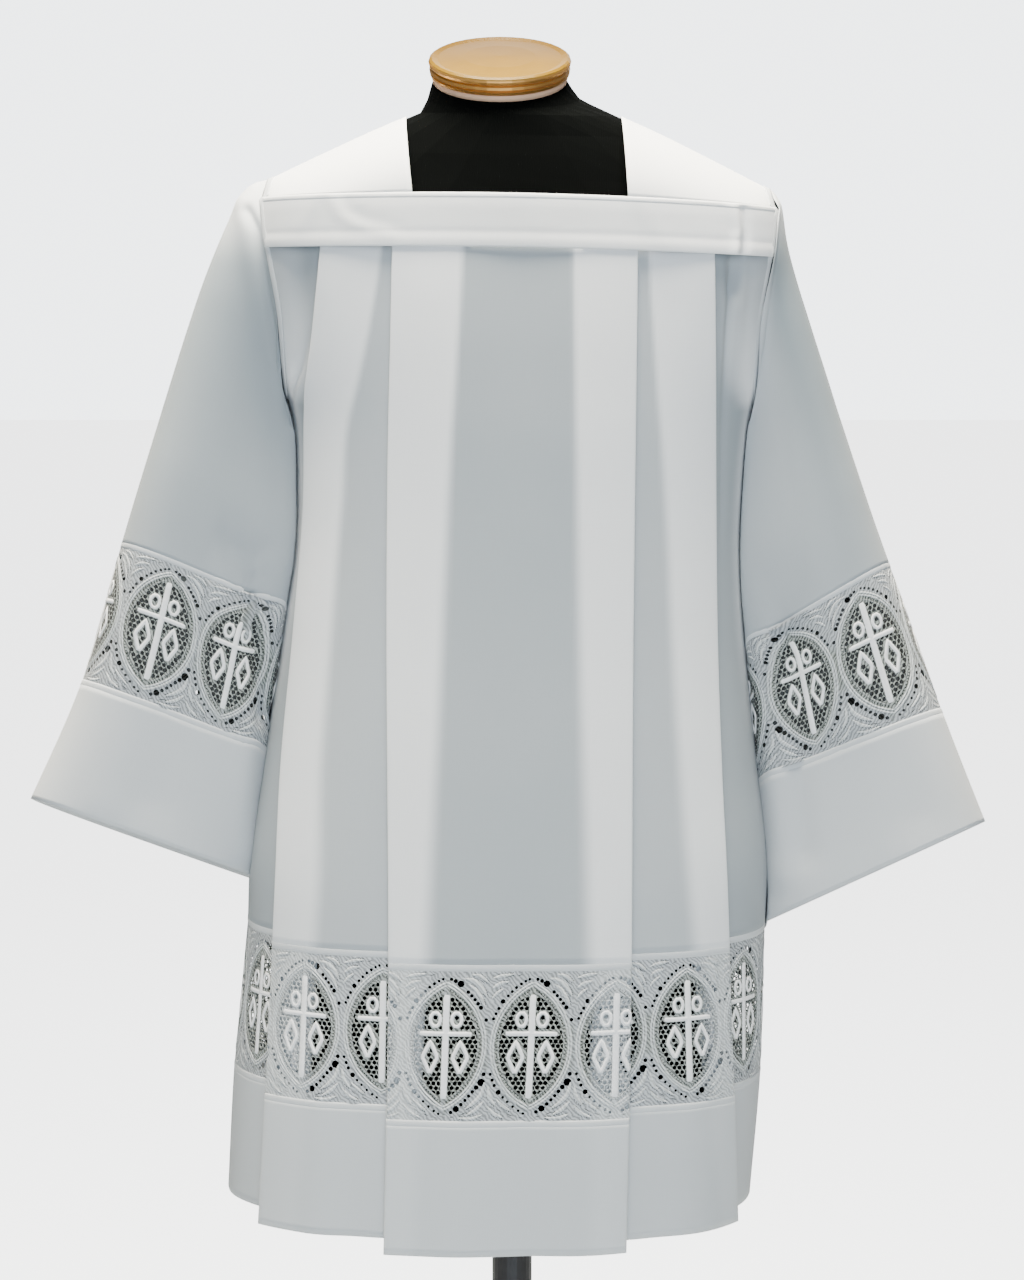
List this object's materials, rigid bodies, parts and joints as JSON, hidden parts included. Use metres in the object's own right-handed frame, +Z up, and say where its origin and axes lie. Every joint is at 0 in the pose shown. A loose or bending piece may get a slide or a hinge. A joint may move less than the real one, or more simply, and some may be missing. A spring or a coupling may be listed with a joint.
{
  "type": "surplice on dress form",
  "caption": "White pleated surplice with a square yoke, wide open sleeves and lace let into skirt and sleeves, on a limbless dress form with pole and foot.",
  "frame": {"origin": "centre of the foot's underside, on the floor", "axes": "+X to the right as seen from the front, -Y to the front, +Z up along the pole"},
  "size_m": [0.8353, 0.38, 1.515],
  "materials": {
    "white_cotton": "matt woven cotton",
    "lace": "embroidered net with satin stitching",
    "black_jersey": "matt knitted cover",
    "neck_strip": "smooth pinkish tan",
    "gilt": "polished gilt",
    "stand_metal": "satin black"
  },
  "bodies": {
    "root": {"front_panel": "white_cotton", "back_panel": "white_cotton", "yoke_band_front": "white_cotton", "yoke_band_back": "white_cotton", "yoke_shoulder_left": "white_cotton", "yoke_shoulder_right": "white_cotton", "hem_lace_front": "lace", "hem_lace_back": "lace", "hem_band_front": "white_cotton", "hem_band_back": "white_cotton", "sleeve_left": "white_cotton", "sleeve_right": "white_cotton", "sleeve_lace_left_front": "lace", "sleeve_lace_left_back": "lace", "sleeve_lace_right_front": "lace", "sleeve_lace_right_back": "lace", "cuff_left": "white_cotton", "cuff_right": "white_cotton", "form_torso": "black_jersey", "form_neck": "neck_strip", "neck_cap": "gilt", "form_pole": "stand_metal", "form_base": "stand_metal"}
  },
  "joints": []
}
